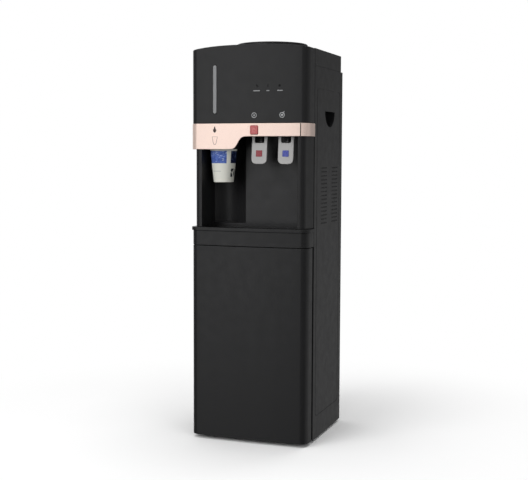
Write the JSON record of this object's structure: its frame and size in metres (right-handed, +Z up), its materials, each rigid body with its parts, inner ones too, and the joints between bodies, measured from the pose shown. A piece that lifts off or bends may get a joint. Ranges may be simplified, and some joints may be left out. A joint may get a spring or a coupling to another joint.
{
  "type": "floor-standing water dispenser",
  "caption": "Floor-standing bottled-water dispenser with hot and cold push taps, a built-in paper-cup dispenser, drip tray and lower cabinet.",
  "frame": {"origin": "centre of the bounding box's bottom face, on the floor", "axes": "+X towards the viewer's right as the front is faced, +Y from the front to the rear, +Z up; the taps and door face -Y"},
  "size_m": [0.332, 0.323, 1.061],
  "materials": {
    "black_plastic": "satin black ABS",
    "rose_gold": "pearl rose-gold paint on ABS",
    "grey_plastic": "silver-grey satin",
    "red_plastic": "translucent red",
    "blue_plastic": "translucent blue",
    "green_plastic": "translucent green",
    "window_plastic": "smoked",
    "white_plastic": "matt white",
    "paper": "matt coated paper",
    "foam": "expanded foam, matt",
    "steel": "brushed",
    "copper": "drawn copper",
    "black_steel": "black enamel",
    "silicone": "translucent silicone",
    "rubber": "matt black",
    "circuit_board": "green solder mask"
  },
  "bodies": {
    "cabinet": {"head_panel": "black_plastic", "front_frame": "black_plastic", "alcove_liner": "black_plastic", "side_panel_left": "black_plastic", "side_panel_right": "black_plastic", "top_cover": "black_plastic", "cup_tube": "black_plastic", "hot_tap_body": "black_plastic", "cold_tap_body": "black_plastic", "rear_panel": "black_plastic", "trim_band": "rose_gold", "cup_window": "window_plastic", "cabinet_liner": "white_plastic", "hot_tap_nut": "white_plastic", "cold_tap_nut": "white_plastic", "cold_jacket": "foam", "hot_jacket": "foam", "cold_tank": "steel", "hot_tank": "steel", "hinge_bracket_top": "steel", "hinge_bracket_bottom": "steel", "base_plate": "steel", "evaporator_coil": "copper", "discharge_pipe": "copper", "compressor": "black_steel", "compressor_mount": "black_steel", "condenser": "black_steel", "hot_hose": "silicone", "cold_hose": "silicone", "feed_hose": "silicone", "drain_pipe": "silicone", "foot_front_left": "rubber", "foot_front_right": "rubber", "foot_rear_left": "rubber", "foot_rear_right": "rubber", "cable_gland": "rubber", "control_board": "circuit_board", "indicator_board": "circuit_board"},
    "door": {"door_panel": "black_plastic", "door_liner": "white_plastic", "door_gasket": "rubber"},
    "tray": {"drip_tray": "black_plastic"},
    "grille": {"drip_grille": "black_plastic"},
    "hot_lever": {"hot_paddle": "grey_plastic", "hot_badge": "red_plastic"},
    "cold_lever": {"cold_paddle": "grey_plastic", "cold_badge": "blue_plastic"},
    "hot_stem": {"hot_valve_stem": "silicone", "hot_tap_spring": "steel"},
    "cold_stem": {"cold_valve_stem": "silicone", "cold_tap_spring": "steel"},
    "lock": {"child_lock_button": "red_plastic"},
    "seat": {"bottle_seat": "black_plastic"},
    "lid": {"cup_tube_lid": "black_plastic"},
    "next_cup": {"cup_next": "paper"},
    "cup": {"cup": "paper"},
    "heat_rocker": {"heat_switch": "red_plastic"},
    "cool_rocker": {"cool_switch": "green_plastic"},
    "drain_plug": {"drain_cap": "black_plastic"}
  },
  "joints": [
    {"name": "door_hinge", "type": "hinge", "parent": "cabinet", "child": "door", "pos_m": [-0.1525, -0.1165, 0.265], "axis": [0, 0, -1], "range_deg": [0, 110]},
    {"name": "tray_pull", "type": "slide", "parent": "cabinet", "child": "tray", "axis": [0, -1, 0], "range_m": [0, 0.095]},
    {"name": "grille_lift", "type": "slide", "parent": "tray", "child": "grille", "axis": [0, 0, 1], "range_m": [0, 0.04]},
    {"name": "hot_press", "type": "hinge", "parent": "cabinet", "child": "hot_lever", "pos_m": [0.022, -0.111, 0.826], "axis": [1, 0, 0], "range_deg": [0, 10], "stiffness_Nm_per_rad": 1, "springref_deg": -8.59},
    {"name": "cold_press", "type": "hinge", "parent": "cabinet", "child": "cold_lever", "pos_m": [0.095, -0.111, 0.826], "axis": [1, 0, 0], "range_deg": [0, 10], "stiffness_Nm_per_rad": 1, "springref_deg": -8.59},
    {"name": "hot_stem_lift", "type": "slide", "parent": "cabinet", "child": "hot_stem", "axis": [0, 0, 1], "range_m": [0, 0.0026], "deforming": ["hot_tap_spring"]},
    {"name": "cold_stem_lift", "type": "slide", "parent": "cabinet", "child": "cold_stem", "axis": [0, 0, 1], "range_m": [0, 0.0026], "deforming": ["cold_tap_spring"]},
    {"name": "lock_push", "type": "slide", "parent": "cabinet", "child": "lock", "axis": [0, 1, 0], "range_m": [0, 0.0025], "stiffness_N_per_m": 300, "springref_m": -0.003},
    {"name": "seat_lift", "type": "slide", "parent": "cabinet", "child": "seat", "axis": [0, 0, 1], "range_m": [0, 0.1]},
    {"name": "lid_lift", "type": "slide", "parent": "cabinet", "child": "lid", "axis": [0, 0, 1], "range_m": [0, 0.05]},
    {"name": "stack_drop", "type": "slide", "parent": "cabinet", "child": "next_cup", "axis": [0, 0, -1], "range_m": [0, 0.015]},
    {"name": "cup_pull", "type": "slide", "parent": "next_cup", "child": "cup", "axis": [0, 0, -1], "range_m": [0, 0.09]},
    {"name": "heat_toggle", "type": "hinge", "parent": "cabinet", "child": "heat_rocker", "pos_m": [0.075, 0.143, 0.72], "axis": [1, 0, 0], "range_deg": [0, 20]},
    {"name": "cool_toggle", "type": "hinge", "parent": "cabinet", "child": "cool_rocker", "pos_m": [0.105, 0.143, 0.72], "axis": [1, 0, 0], "range_deg": [0, 20]},
    {"name": "cap_turn", "type": "hinge", "parent": "cabinet", "child": "drain_plug", "pos_m": [0.055, 0.148, 0.575], "axis": [0, 1, 0], "continuous": true}
  ],
  "couplings": [
    {"joint": "hot_stem_lift", "follows": "hot_press", "m_per_rad": 0.01432},
    {"joint": "cold_stem_lift", "follows": "cold_press", "m_per_rad": 0.01432}
  ]
}
